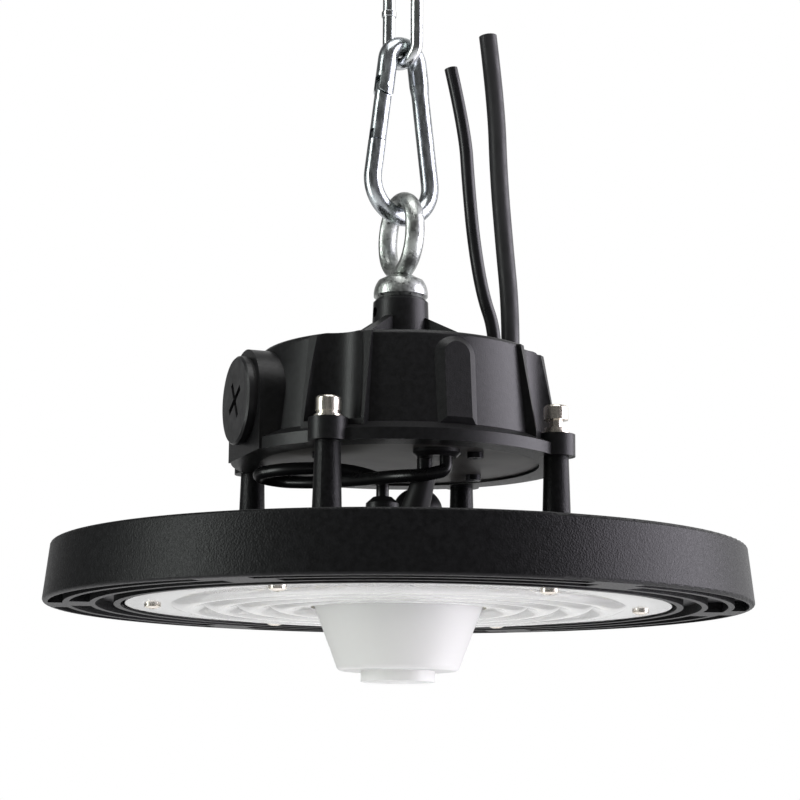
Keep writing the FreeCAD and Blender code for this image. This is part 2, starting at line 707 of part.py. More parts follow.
def make_sensor(lens_foot):
    """Frosted sensor cover on its base, with the sensor inside it."""
    cover_top = lens_foot + d.lens_skin
    board_foot = inner_floor - d.led_board_thickness
    shoulder = sink_foot - d.sensor_depth
    nose = shoulder - d.sensor_nose
    wall = d.sensor_wall
    bend = d.sensor_round
    turned_piece("sensor_cover", (
        (d.sensor_radius, cover_top),
        (d.sensor_foot_radius + bend * 0.35, shoulder + bend, -bend * 1.25),
        (d.sensor_foot_radius - bend, shoulder),
        (d.sensor_nose_radius, shoulder),
        (d.sensor_nose_radius, nose),
        (0, nose),
        (0, nose + wall),
        (d.sensor_nose_radius - wall, nose + wall),
        (d.sensor_nose_radius - wall, shoulder + wall),
        (d.sensor_foot_radius - wall, shoulder + wall),
        (d.sensor_radius - wall, cover_top),
    ))
    turned_piece("sensor_base", (
        (BOARD_HOLE, board_foot),
        (d.sensor_radius, board_foot),
        (d.sensor_radius, cover_top),
        (d.sensor_radius - wall, cover_top),
        (d.sensor_radius - wall, cover_top + wall),
        (BOARD_HOLE, cover_top + wall),
    ))
    turned_piece("sensor_board", (
        (0, cover_top + wall - d.board_thickness),
        (d.sensor_board_radius, cover_top + wall - d.board_thickness),
        (d.sensor_board_radius, cover_top + wall),
        (0, cover_top + wall),
    ))
    can_top = (cover_top + wall - d.board_thickness).value
    can = Part.makeBox(18, 14, 7.5, Vector(-9, -7, can_top - 7.5))
    eye = Part.makeCylinder(4.2, 3.2, Vector(9.5, -9.5, can_top - 3.2))
    plug = Part.makeBox(9, 5, 6, Vector(2, 9, can_top - 6))
    solid_piece("sensor_parts", Part.makeCompound([can, eye, plug]))


# ---------------------------------------------------------------- driver housing
def make_housing():
    """Cast housing: cone wall, flange with four ears, screw pockets, boss, arch, neck, ribs."""
    body = new_body("housing")
    neck = d.neck_diameter / 2
    profile = sketch_on(body, "housing_profile", "XZ_Plane")
    outline(profile, (
        (0, neck_top),
        (neck - d.edge_round, neck_top),
        (neck, neck_top - d.edge_round),
        (d.neck_foot_diameter / 2, housing_top),
        (d.crown_radius - d.crown_round, housing_top, -d.crown_round),
        (d.crown_radius, housing_top - d.crown_round),
        (d.foot_radius, wall_foot),
        (d.flange_radius, flange_top),
        (d.flange_radius, flange_foot),
        (0, flange_foot),
    ))
    turn_about(body, profile)

    ear = sketch_on(body, "ear", "XY_Plane", offset=flange_foot, turn=45)
    round_hole(ear, d.post_circle, 0, d.ear_radius)
    ear_pad = push(body, ear, d.ear_height)
    buttress = sketch_on(body, "buttress", "XZ_Plane", turn=45)
    inside = d.crown_radius - 2 * d.housing_wall
    outline(buttress, (
        (inside, flange_foot + d.flange_thickness / 2),
        (d.buttress_foot, flange_foot + d.flange_thickness / 2),
        (d.buttress_foot, ear_top),
        (d.crown_radius, housing_top - d.crown_round / 2),
        (inside, housing_top - d.crown_round / 2),
    ))
    buttress_pad = push(body, buttress, d.buttress_width, middle=True)
    pocket = sketch_on(body, "screw_pocket", "XZ_Plane", turn=45)
    axis_line(pocket, (d.post_circle, flange_foot), (d.post_circle, housing_top))
    outline(pocket, (
        (d.post_circle, flange_foot - 1),
        (d.post_circle + ear_hole, flange_foot - 1),
        (d.post_circle + ear_hole, ear_top),
        (d.post_circle + d.pocket_radius, ear_top),
        (d.post_circle + d.pocket_top_radius, housing_top + 1),
        (d.post_circle, housing_top + 1),
    ))
    hollowed = turn_about(body, pocket, kind="PartDesign::Groove", axis="Axis0")
    around(body, [ear_pad, buttress_pad, hollowed], 4)

    rib = sketch_on(body, "rib", "XZ_Plane", turn=45)
    outline(rib, (
        (neck / 2, housing_top - d.roof_thickness / 2),
        (d.gusset_reach, housing_top - d.roof_thickness / 2),
        (d.gusset_reach, housing_top),
        (d.neck_foot_diameter / 2 - d.edge_round, housing_top + d.gusset_height),
        (neck / 2, housing_top + d.gusset_height),
    ))
    around(body, [push(body, rib, d.gusset_thickness, middle=True)], 4)

    slope = math.atan2((d.foot_radius - d.crown_radius).value, (housing_top - wall_foot).value)
    arch = sketch_on(body, "arch", "XZ_Plane")
    arch.AttachmentOffset = Placement(
        Vector(0, wall_foot.value, d.arch_reach.value), Rotation(Vector(-1, 0, 0), math.degrees(slope)))
    bind(arch, "AttachmentOffset.Base.y", wall_foot)
    bind(arch, "AttachmentOffset.Base.z", d.arch_reach)
    half = d.arch_width / 2
    arch_top = housing_top - d.arch_drop - wall_foot
    outline(arch, (
        (-half, ARCH_LIFT),
        (half, ARCH_LIFT),
        (half, arch_top - half, half),
        (0, arch_top, half),
        (-half, arch_top - half),
    ))
    push(body, arch, d.arch_reach - d.foot_radius + d.crown_round * 0.8, back=True, taper=ARCH_BEVEL)

    boss = sketch_on(body, "side_boss", "YZ_Plane", offset=-d.boss_reach)
    outline(boss, (
        (-d.boss_radius, flange_foot),
        (d.boss_radius, flange_foot),
        (d.boss_radius, plug_axis, d.boss_radius),
        (0, plug_axis + d.boss_radius, d.boss_radius),
        (-d.boss_radius, plug_axis),
    ))
    push(body, boss, d.boss_reach - d.crown_radius + 2 * d.housing_wall)
    flat = sketch_on(body, "boss_flat", "YZ_Plane", offset=-d.boss_reach)
    outline(flat, (
        (-d.boss_radius, flange_foot - 1),
        (d.boss_radius, flange_foot - 1),
        (d.boss_radius, flange_top + 1),
        (-d.boss_radius, flange_top + 1),
    ))
    push(body, flat, d.flange_radius - d.boss_reach + 1, kind="PartDesign::Pocket")

    cavity = sketch_on(body, "cavity", "XZ_Plane")
    recess = d.cover_radius + d.cover_play
    outline(cavity, (
        (0, flange_foot - 1),
        (recess, flange_foot - 1),
        (recess, ledge),
        (d.foot_radius - 3 * d.housing_wall, ledge),
        (d.crown_radius - 3 * d.housing_wall, housing_top - d.roof_thickness),
        (0, housing_top - d.roof_thickness),
    ))
    turn_about(body, cavity, kind="PartDesign::Groove")

    pillar = sketch_on(body, "cover_pillar", "XY_Plane", offset=ledge, turn=COVER_SCREW_ANGLE)
    round_hole(pillar, d.cover_screw_circle, 0, 1.4 * d.cover_screw_diameter)
    pillar_pad = push(body, pillar, housing_top - d.roof_thickness / 2 - ledge)
    pilot = sketch_on(body, "cover_pilot", "XY_Plane", offset=ledge, turn=COVER_SCREW_ANGLE)
    round_hole(pilot, d.cover_screw_circle, 0, cover_screw_hole)
    pilot_hole = push(body, pilot, COVER_SCREW_GRIP, kind="PartDesign::Pocket", back=True)
    around(body, [pillar_pad, pilot_hole], 4)

    bore = sketch_on(body, "shank_bore", "XY_Plane", offset=neck_top)
    round_hole(bore, 0, 0, d.shank_diameter / 2 + THREAD_PLAY)
    push(body, bore, d.shank_length + 1, kind="PartDesign::Pocket")
    lock = sketch_on(body, "lock_bore", "YZ_Plane", offset=-d.neck_foot_diameter / 2 - 1)
    round_hole(lock, 0, lock_axis, d.lock_screw_diameter / 2 + THREAD_PLAY)
    push(body, lock, d.neck_foot_diameter / 2 + 1, kind="PartDesign::Pocket", back=True)
    side = sketch_on(body, "plug_bore", "YZ_Plane", offset=-d.boss_reach - 1)
    round_hole(side, 0, plug_axis, d.plug_thread_diameter / 2 + THREAD_PLAY)
    push(body, side, 1 + d.boss_reach - d.crown_radius + 3 * d.housing_wall,
         kind="PartDesign::Pocket", back=True)
    entries = sketch_on(body, "cable_bores", "XY_Plane", offset=housing_top)
    round_hole(entries, *MAINS_SPOT, d.mains_diameter / 2)
    round_hole(entries, *CONTROL_SPOT, d.control_diameter / 2)
    push(body, entries, 3 * d.roof_thickness, kind="PartDesign::Pocket")
    return finish("housing", body)


def make_base():
    """Base cover with its gasket and screws, and the driver inside the housing."""
    cover = new_body("base_cover")
    disc = sketch_on(cover, "cover_outline", "XY_Plane", offset=cover_foot)
    round_hole(disc, 0, 0, d.cover_radius)
    push(cover, disc, d.cover_thickness)
    holes = sketch_on(cover, "cover_holes", "XY_Plane", offset=cover_top, turn=COVER_SCREW_ANGLE)
    round_hole(holes, d.cover_screw_circle, 0, cover_screw_hole)
    drilled = push(cover, holes, d.cover_thickness, kind="PartDesign::Pocket")
    around(cover, [drilled], 4)
    opening = sketch_on(cover, "lead_opening", "XY_Plane", offset=cover_top)
    round_hole(opening, *LEAD_GLAND, d.lead_gland_radius / 2)
    push(cover, opening, d.cover_thickness, kind="PartDesign::Pocket")
    finish("base_cover", cover)

    turned_piece("cover_gasket", (
        (d.foot_radius - 3 * d.housing_wall, cover_top),
        (d.cover_radius, cover_top),
        (d.cover_radius, ledge),
        (d.foot_radius - 3 * d.housing_wall, ledge),
    ))

    radius = d.cover_screw_diameter.value
    shank = Part.makeCylinder(
        radius / 2, (ledge - cover_foot).value + COVER_SCREW_GRIP - 1)
    head = Part.makeCylinder(radius, 0.7 * radius, Vector(0, 0, -0.7 * radius))
    socket = Part.makeBox(2.6, 0.7, 0.9, Vector(-1.3, -0.35, -0.7 * radius - 0.1))
    crossed = socket.copy()
    crossed.rotate(Vector(), Vector(0, 0, 1), 90)
    screw = shank.fuse(head).cut(socket).cut(crossed).removeSplitter()
    spots = [spot + Vector(0, 0, cover_foot.value)
             for spot in diagonal_spots(d.cover_screw_circle.value, 4, COVER_SCREW_ANGLE)]
    solid_piece("base_cover_screws", copies(screw, spots))

    board_top = housing_top - d.roof_thickness - d.board_drop
    turned_piece("driver_board", (
        (0, board_top - d.board_thickness),
        (d.board_radius, board_top - d.board_thickness),
        (d.board_radius, board_top),
        (0, board_top),
    ))
    level = board_top.value
    room = d.board_drop.value
    transformer = Part.makeBox(24, 20, room, Vector(-16, -12, level))
    choke = Part.makeCylinder(7, 0.6 * room, Vector(-22, 14, level))
    storage = Part.makeCylinder(6.5, 0.85 * room, Vector(17, 17, level))
    smoothing = Part.makeCylinder(5, 0.7 * room, Vector(20, -16, level))
    heat_tab = Part.makeBox(3, 16, 0.7 * room, Vector(26, -6, level))
    solid_piece("driver_parts", Part.makeCompound(
        [transformer, choke, storage, smoothing, heat_tab]))


def make_plug():
    """Screw plug in the side boss, with a seal behind its head."""
    plug = new_body("side_plug")
    seal_face = -d.boss_reach
    head_back = seal_face - d.plug_stand
    head_front = head_back - d.plug_head
    profile = sketch_on(plug, "plug_profile", "XZ_Plane")
    axis_line(profile, (head_front, plug_axis), (seal_face, plug_axis))
    thread = plug_axis + d.plug_thread_diameter / 2
    rim = plug_axis + d.plug_diameter / 2
    inner_end = seal_face + d.plug_thread_length
    outline(profile, (
        (head_front, plug_axis),
        (inner_end, plug_axis),
        (inner_end, thread),
        (head_back, thread),
        (head_back, rim),
        (head_front + PLUG_EDGE, rim),
        (head_front, rim - PLUG_EDGE),
    ))
    turn_about(plug, profile, axis="Axis0")
    for name, turn in (("slot_one", 60), ("slot_two", 150)):
        cross = sketch_on(plug, name, "YZ_Plane", offset=head_front)
        long, wide = d.slot_length.value / 2, d.slot_width.value / 2
        angle = math.radians(turn)
        corners = [(long * a * math.cos(angle) - wide * b * math.sin(angle),
                    plug_axis + (long * a * math.sin(angle) + wide * b * math.cos(angle)))
                   for a, b in ((-1, -1), (1, -1), (1, 1), (-1, 1))]
        outline(cross, corners)
        push(plug, cross, d.slot_depth, kind="PartDesign::Pocket", back=True)
    finish("side_plug", plug)

    seal = new_body("side_plug_seal")
    section = sketch_on(seal, "seal_profile", "XZ_Plane")
    axis_line(section, (head_front, plug_axis), (seal_face, plug_axis))
    outer = thread + 0.9 * (rim - thread)
    outline(section, (
        (head_back, thread + THREAD_PLAY),
        (seal_face, thread + THREAD_PLAY),
        (seal_face, outer),
        (head_back, outer),
    ))
    turn_about(seal, section, axis="Axis0")
    finish("side_plug_seal", seal)


def make_post_screws():
    """Cap screws with spring and flat washers on the four ears; one stands a little proud."""
    spots = diagonal_spots(d.post_circle.value)
    proud = 3
    radius = d.screw_diameter.value / 2
    head_radius = d.screw_head_diameter.value / 2
    height = d.screw_head_height.value
    seat = screw_seat.value
    socket = Part.Face(Part.makePolygon([
        Vector(2.3 * math.cos(math.radians(60 * i)), 2.3 * math.sin(math.radians(60 * i)), height)
        for i in range(7)])).extrude(Vector(0, 0, -0.5 * height))
    head = Part.makeCylinder(head_radius, height)
    head = head.makeFillet(SCREW_SHOULDER, [edge for edge in head.Edges
                                            if edge.BoundBox.ZMin > height - 0.01]).cut(socket)
    shank = Part.makeCylinder(radius, d.screw_reach.value, Vector(0, 0, -d.screw_reach.value))
    screw = head.fuse(shank).removeSplitter()
    lifted = [spot + Vector(0, 0, seat + (d.proud_lift.value if i == proud else 0))
              for i, spot in enumerate(spots)]
    solid_piece("post_screws", copies(screw, lifted))

    flat = Part.makeCylinder(d.washer_diameter.value / 2, d.washer_thickness.value)
    flat = flat.cut(Part.makeCylinder(radius + THREAD_PLAY, 2 * d.washer_thickness.value))
    solid_piece("flat_washers", copies(flat, [s + Vector(0, 0, ear_top.value) for s in spots]))

    lock_height = d.lock_washer_thickness.value
    lock = Part.makeCylinder(d.lock_washer_diameter.value / 2, lock_height)
    lock = lock.cut(Part.makeCylinder(radius + THREAD_PLAY, 2 * lock_height))
    gap = Part.makeBox(4, 0.5, 3 * lock_height, Vector(radius - 0.6, -0.25, -lock_height))
    lock = lock.cut(gap)
    level = (ear_top + d.washer_thickness).value
    solid_piece("spring_washers", copies(lock, [s + Vector(0, 0, level) for s in spots]))


# ---------------------------------------------------------------- suspension
def make_eye_bolt():
    """Forged eye bolt: ring, collar and threaded shank, locked by a grub screw."""
    body = new_body("eye_bolt")
    ring = sketch_on(body, "ring_profile", "XZ_Plane")
    axis_line(ring, (0, eye_centre), (d.eye_thickness, eye_centre))
    inner = eye_centre + d.eye_hole / 2
    outer = inner + d.eye_section
    half = d.eye_thickness / 2
    crest = d.eye_section * EYE_CREST
    bend = (half * half + crest * crest) / (2 * crest)
    outline(ring, (
        (-half, inner + crest, bend),
        (0, inner, bend),
        (half, inner + crest),
        (half, outer - crest, bend),
        (0, outer, bend),
        (-half, outer - crest),
    ))
    turn_about(body, ring, axis="Axis0")
    collar = sketch_on(body, "collar_profile", "XZ_Plane")
    edge = d.collar_diameter / 2
    outline(collar, (
        (0, neck_top - d.shank_length),
        (d.shank_diameter / 2 - d.edge_round, neck_top - d.shank_length),
        (d.shank_diameter / 2, neck_top - d.shank_length + d.edge_round),
        (d.shank_diameter / 2, neck_top),
        (edge - d.edge_round, neck_top),
        (edge, neck_top + d.edge_round, d.collar_height),
        (edge - 1.4 * d.edge_round, neck_top + 0.8 * d.collar_height),
        (edge / 2, neck_top + d.collar_height),
        (0, neck_top + d.collar_height),
    ))
    turn_about(body, collar)
    finish("eye_bolt", body)

    screw = new_body("eye_lock_screw")
    profile = sketch_on(screw, "lock_profile", "XZ_Plane")
    start = -d.neck_diameter / 2 + 2
    end = -d.shank_diameter / 2 - THREAD_PLAY
    axis_line(profile, (start, lock_axis), (end, lock_axis))
    radius = d.lock_screw_diameter / 2
    outline(profile, (
        (start + 2, lock_axis),
        (end, lock_axis),
        (end, lock_axis + radius - 0.5),
        (end - 0.5, lock_axis + radius),
        (start, lock_axis + radius),
        (start, lock_axis + radius / 2),
        (start + 2, lock_axis + radius / 2),
    ))
    turn_about(screw, profile, axis="Axis0")
    finish("eye_lock_screw", screw)


def swept(points_and_arcs, diameter):
    """A round bar along edges that follow each other smoothly."""
    path = Part.Wire(points_and_arcs)
    start = path.Edges[0].valueAt(path.Edges[0].FirstParameter)
    heading = path.Edges[0].tangentAt(path.Edges[0].FirstParameter)
    ring = Part.Wire(Part.makeCircle(diameter / 2, start, heading))
    return path.makePipeShell([ring], True, False)


def arm_line(start, end):
    return Part.LineSegment(start, end).toShape()


def make_hook():
    """Snap hook: pear-shaped bar with forged bow, and its riveted, sprung gate."""
    bow_bar = d.bow_wire.value / 2
    bar = d.hook_wire.value / 2
    bow = d.bow_radius.value
    bend = d.bend_radius.value
    bow_centre = hook_roof.value + bow_bar - bow
    bend_centre = hook_floor.value - bar + bend
    lean = math.asin((bend - bow) / (bow_centre - bend_centre))
    side = {}
    for name, sign in (("left", -1), ("right", 1)):
        outward = Vector(sign * math.cos(lean), 0, math.sin(lean))
        down = Vector(sign * math.sin(lean), 0, -math.cos(lean))
        top = Vector(0, 0, bow_centre) + outward * bow
        foot = Vector(0, 0, bend_centre) + outward * bend
        side[name] = (top, foot, down)
    left_top, left_foot, left_down = side["left"]
    right_top, right_foot, right_down = side["right"]
    rivet = left_top + left_down * d.hinge_drop.value
    joint = rivet + left_down * (d.gate_length + d.gate_gap).value

    crown_point = Vector(0, 0, bow_centre + bow)
    low_point = Vector(0, 0, bend_centre - bend)
    forged = swept([
        arm_line(rivet, left_top),
        Part.Arc(left_top, crown_point, right_top).toShape(),
        arm_line(right_top, right_top + right_down * d.bow_reach.value),
    ], d.bow_wire.value)
    arms = swept([
        arm_line(right_top, right_foot),
        Part.Arc(right_foot, low_point, left_foot).toShape(),
        arm_line(left_foot, joint),
    ], d.hook_wire.value)
    taper = Part.makeCone(
        bow_bar, bar, bow_bar, right_top + right_down * d.bow_reach.value, right_down)

    # about the rivet: X towards the other arm, Y along the rivet, Z up along the arm
    frame = Placement(rivet, Rotation(Vector(0, 1, 0), math.degrees(lean)))
    gap = d.gate_gap.value
    gate_bar = bar - d.gate_thin.value / 2
    length = d.gate_length.value
    tongue = d.tongue_thickness.value
    tongue_radius = gate_bar - gap
    cheek_rod = Part.makeCylinder(bow_bar, 3 * bow_bar, Vector(0, 0, -2 * bow_bar))
    cheek_round = Part.makeCylinder(bow_bar, 4 * bow_bar, Vector(0, -2 * bow_bar, 0), Vector(0, 1, 0))
    cheeks = cheek_rod.common(cheek_round)
    slot_depth = tongue_radius + gap
    slot = Part.makeBox(
        4 * bow_bar, tongue + gap, slot_depth + 2 * bow_bar,
        Vector(-2 * bow_bar, -(tongue + gap) / 2, -2 * bow_bar))
    spring_bore = Part.makeCylinder(
        d.spring_diameter.value / 2 + THREAD_PLAY, d.spring_length.value + gap,
        Vector(0, 0, slot_depth - gap / 2))
    pin = Part.makeCylinder(
        d.rivet_diameter.value / 2, 2 * bow_bar + gap, Vector(0, -bow_bar - gap / 2, 0), Vector(0, 1, 0))
    nose = Part.makeBox(
        1.4 * bar, d.nose_thickness.value, d.nose_length.value + gap + bar,
        Vector(-0.7 * bar, -d.nose_thickness.value / 2, -length - gap - bar))

    for shape in (cheeks, slot, spring_bore, pin, nose):
        shape.Placement = frame
    hook = forged.fuse([arms, taper, cheeks, nose]).cut(slot).cut(spring_bore).cut(pin)
    hook = hook.removeSplitter()

    gate = Part.makeCylinder(gate_bar, length, Vector(0, 0, -length))
    relief = Part.makeCylinder(
        bow_bar + gap, 4 * bow_bar, Vector(0, -2 * bow_bar, 0), Vector(0, 1, 0))
    blade = Part.makeCylinder(tongue_radius, tongue, Vector(0, -tongue / 2, 0), Vector(0, 1, 0))
    neck = Part.makeBox(
        2 * tongue_radius, tongue, 2 * bow_bar, Vector(-tongue_radius, -tongue / 2, -2 * bow_bar))
    bore = Part.makeCylinder(
        d.rivet_diameter.value / 2 + THREAD_PLAY, 4 * tongue, Vector(0, -2 * tongue, 0), Vector(0, 1, 0))
    fork = Part.makeBox(
        4 * bar, d.nose_thickness.value + 2 * gap, d.nose_length.value + 2 * gap + 1,
        Vector(-2 * bar, -d.nose_thickness.value / 2 - gap, -length - 1))
    gate = gate.cut(relief).fuse([blade, neck]).cut(bore).cut(fork).removeSplitter()
    gate.Placement = frame

    coil_radius = (d.spring_diameter - d.spring_wire).value / 2
    helix = Part.makeHelix(d.spring_length.value / SPRING_TURNS, d.spring_length.value, coil_radius)
    ring = Part.Wire(Part.makeCircle(
        d.spring_wire.value / 2, Vector(coil_radius, 0, 0), Vector(0, 1, 0)))
    spring = Part.Wire(helix).makePipeShell([ring], True, True)
    spring.translate(Vector(0, 0, slot_depth - gap / 4))
    spring.Placement = frame.multiply(spring.Placement)

    for label, shape in (("snap_hook", hook), ("hook_gate", gate),
                         ("gate_rivet", pin), ("gate_spring", spring)):
        piece = solid_piece(label, shape)
        piece.Placement = Placement(
            Vector(), Rotation(Vector(0, 0, 1), d.hook_turn.value)).multiply(piece.Placement)
    print("gate rivet at", rivet, "lean", math.degrees(lean))


def make_link(label, floor, turn):
    """A welded chain link whose inside ends at the given level."""
    bend = (d.link_width - d.link_wire).value / 2
    wire = d.link_wire.value
    low = floor.value - wire / 2 + bend
    high = floor.value + d.link_inside.value + wire / 2 - bend
    middle = (low + high) / 2
    halves = []
    for centre, tip in ((high, high + bend), (low, low - bend)):
        halves.append(swept([
            arm_line(Vector(bend, 0, middle), Vector(bend, 0, centre)),
            Part.Arc(Vector(bend, 0, centre), Vector(0, 0, tip), Vector(-bend, 0, centre)).toShape(),
            arm_line(Vector(-bend, 0, centre), Vector(-bend, 0, middle)),
        ], wire))
    bead = Part.makeCylinder(
        wire / 2 + d.weld_bead.value, wire / 2, Vector(bend, 0, middle - wire / 4))
    bead = bead.makeFillet(d.weld_bead.value * 0.9, [
        edge for edge in bead.Edges if edge.BoundBox.ZLength < 1e-6])
    link = solid_piece(label, halves[0].fuse([halves[1], bead]).removeSplitter())
    link.Placement = Placement(Vector(), Rotation(Vector(0, 0, 1), turn.value))
    return link


# ---------------------------------------------------------------- cables
def make_cables():
    """Glands, the two free cables and the two leads between housing and heat sink."""
    for label, spot, radius, bore in (
            ("mains_gland", MAINS_SPOT, d.mains_gland_radius, d.mains_diameter / 2),
            ("control_gland", CONTROL_SPOT, d.control_gland_radius, d.control_diameter / 2)):
        turned_piece(label, (
            (bore / 2, 0),
            (radius, 0),
            (radius, d.gland_height / 3),
            (bore + (radius - bore) / 2, d.gland_height),
            (bore / 2, d.gland_height),
        ), spot[0], spot[1], housing_top)
    exit_level = (housing_top + d.gland_height).value
    for label, spot, diameter, route in (
            ("mains_cable", MAINS_SPOT, d.mains_diameter, MAINS_ROUTE),
            ("control_cable", CONTROL_SPOT, d.control_diameter, CONTROL_ROUTE)):
        start = Vector(spot[0].value, spot[1].value, exit_level)
        tube(label, [start + Vector(*step) for step in route], diameter.value)

    turned_piece("lead_gland", (
        (0, -d.lead_gland_height),
        (d.lead_gland_radius - 1.5, -d.lead_gland_height),
        (d.lead_gland_radius, -d.lead_gland_height + 1.5),
        (d.lead_gland_radius, 0),
        (0, 0),
    ), *LEAD_GLAND, cover_foot)
    turned_piece("lamp_gland", (
        (0, 0),
        (d.loop_lead_diameter * 1.6, 0),
        (d.loop_lead_diameter * 1.6, d.lamp_gland_height * 0.4),
        (d.loop_lead_diameter * 1.35, d.lamp_gland_height * 0.45),
        (d.loop_lead_diameter * 1.3, d.lamp_gland_height * 0.8),
        (d.loop_lead_diameter * 0.75, d.lamp_gland_height),
        (0, d.lamp_gland_height),
    ), *LAMP_GLAND, crown)
    foot = Part.Wire(Part.makeCircle(
        d.boot_radius.value, Vector(SENSOR_BOOT[0].value, SENSOR_BOOT[1].value, crown.value)))
    head = Part.Wire(Part.makeCircle(
        d.boot_top_radius.value,
        Vector(FEED_SPOT[0].value, FEED_SPOT[1].value, (crown + d.boot_height).value)))
    solid_piece("sensor_boot", Part.makeLoft([foot, head], True, True))
    turned_piece("feed_lead", (
        (0, crown + d.boot_height),
        (d.feed_lead_diameter / 2, crown + d.boot_height),
        (d.feed_lead_diameter / 2, cover_foot - d.lead_gland_height),
        (0, cover_foot - d.lead_gland_height),
    ), *FEED_SPOT)
    dome = d.breather_radius - 1
    turned_piece("breather", (
        (0, 0),
        (d.breather_radius, 0),
        (d.breather_radius, d.breather_height / 4),
        (dome, d.breather_height / 4),
        (dome, d.breather_height - dome, dome),
        (0, d.breather_height),
    ), *BREATHER, crown)

    start = Vector(
        LEAD_GLAND[0].value, LEAD_GLAND[1].value, (cover_foot - d.lead_gland_height).value)
    end = Vector(LAMP_GLAND[0].value, LAMP_GLAND[1].value, (crown + d.lamp_gland_height).value)
    points = [start + Vector(*step) for step in LOOP_ROUTE]
    drop = Vector(0, 0, 1.4 * d.loop_lead_diameter.value)
    tube("loop_lead", points + [end + drop, end], d.loop_lead_diameter.value)


# routes, from the gland outwards
MAINS_ROUTE = (
    (0.0, 0.0, 0.0), (0.0, 0.0, 17.4), (-2.1, 0.9, 42.4), (-4.1, 1.7, 70.4), (-4.9, 2.1, 99.4),
    (-8.0, 3.2, 127.7))
CONTROL_ROUTE = (
    (0.0, 0.0, 0.0), (0.0, 0.0, 11.0), (-4.4, 1.7, 24.9), (-7.7, 3.0, 46.4), (-9.7, 3.8, 70.4),
    (-11.0, 4.3, 92.4), (-16.3, 6.3, 118.3))
LOOP_ROUTE = (
    (2.2, -3.6, 0.0), (2.2, -3.6, -5.0), (-6.0, -2.6, -7.0), (-14.0, 7.5, -6.6),
    (-18.6, 21.8, -6.0), (-23.9, 35.7, -5.2), (-30.2, 50.0, -4.2), (-37.9, 60.5, -3.0),
    (-46.1, 61.5, -2.0), (-50.1, 53.9, -1.4), (-43.5, 43.3, -0.8), (-30.6, 35.1, -0.7),
    (-19.7, 31.4, -1.8))


def write_parts():
    """Check every object and write one STEP file for each piece."""
    doc.recompute()
    failed = [item.Label for item in doc.Objects
              if "Invalid" in item.State or "Error" in item.State]
    if failed:
        raise RuntimeError("failed objects: " + ", ".join(failed))
    os.makedirs("parts", exist_ok=True)
    for label, piece in finished.items():
        shape = piece.Shape
        if shape.isNull() or not shape.isValid() or not shape.Solids:
            raise RuntimeError(label + " has no valid solid")
    for label, piece in finished.items():
        piece.Shape.exportStep("parts/" + label + ".step")
        box = piece.Shape.BoundBox
        print("{:18s} {:3d} solids {:9.1f} mm3  x {:7.1f} {:7.1f}  y {:7.1f} {:7.1f}  z {:7.1f} {:7.1f}".format(
            label, len(piece.Shape.Solids), piece.Shape.Volume,
            box.XMin, box.XMax, box.YMin, box.YMax, box.ZMin, box.ZMax))


make_heat_sink()
make_sensor(make_light())
make_housing()
make_base()
make_plug()
make_post_screws()
make_eye_bolt()
make_hook()
make_link("lower_link", lower_floor, d.link_turn)
make_link("upper_link", upper_floor, d.link_turn - 90)
make_cables()
write_parts()
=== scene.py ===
# %% [markdown]
# # A high bay light on its snap hook
# The light is a round black casting with a driver housing above it.  It hangs by an eye bolt
# from a snap hook and two links of chain.  The solids come ready made, so this lesson is about
# the looks: where the camera stands, how black paint, zinc, rubber and clear plastic are built
# from nodes, and how two stiff cables are drawn as curves.

import math

import bpy
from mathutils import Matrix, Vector


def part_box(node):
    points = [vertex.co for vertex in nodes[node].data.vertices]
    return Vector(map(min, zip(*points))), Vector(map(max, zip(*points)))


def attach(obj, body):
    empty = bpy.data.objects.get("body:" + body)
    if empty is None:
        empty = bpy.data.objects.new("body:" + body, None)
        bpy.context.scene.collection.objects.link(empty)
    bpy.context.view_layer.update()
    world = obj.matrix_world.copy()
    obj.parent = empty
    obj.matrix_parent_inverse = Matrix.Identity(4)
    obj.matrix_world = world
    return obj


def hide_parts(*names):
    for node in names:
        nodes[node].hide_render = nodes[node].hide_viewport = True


MM = 0.001
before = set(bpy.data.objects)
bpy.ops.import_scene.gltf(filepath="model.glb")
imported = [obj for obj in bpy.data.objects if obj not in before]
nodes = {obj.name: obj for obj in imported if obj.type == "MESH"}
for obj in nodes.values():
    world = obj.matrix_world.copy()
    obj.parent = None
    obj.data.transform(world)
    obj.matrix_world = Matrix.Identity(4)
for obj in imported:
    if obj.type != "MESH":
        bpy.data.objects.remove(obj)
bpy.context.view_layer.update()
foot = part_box("heat_sink")[0][2]
print("nodes:", len(nodes), "foot of the heat sink:", round(foot, 4))

# %% [markdown]
# ## Camera
# The light is seen from a little below, with a long lens, so the far edge of the disc nearly
# lines up with the near one.  A camera is aimed by turning its own -Z axis along a direction,
# and a small turn about that axis afterwards gives the slight roll of a hand-held view.  A
# Track To constraint on an empty would aim it too, but plain numbers give the same view each run.

# %% Camera
AZIMUTH = math.radians(-21.24)
TILT = math.radians(10.54)
ROLL = math.radians(0.42)
DISTANCE = 0.75
BELOW_FOOT = 0.0609
FOCAL_LENGTH = 91.1
SENSOR_WIDTH = 36

lens = bpy.data.cameras.new("product_camera")
lens.lens = FOCAL_LENGTH
lens.sensor_width = SENSOR_WIDTH
camera = bpy.data.objects.new("product_camera", lens)
bpy.context.scene.collection.objects.link(camera)
bpy.context.scene.camera = camera
camera.location = (
    DISTANCE * math.sin(AZIMUTH), -DISTANCE * math.cos(AZIMUTH), foot - BELOW_FOOT)
aim = Vector((
    -math.sin(AZIMUTH) * math.cos(TILT), math.cos(AZIMUTH) * math.cos(TILT), math.sin(TILT)))
camera.rotation_euler = aim.to_track_quat("-Z", "Y").to_euler()
camera.rotation_euler.rotate_axis("Z", ROLL)
print("camera at", [round(value, 3) for value in camera.location])

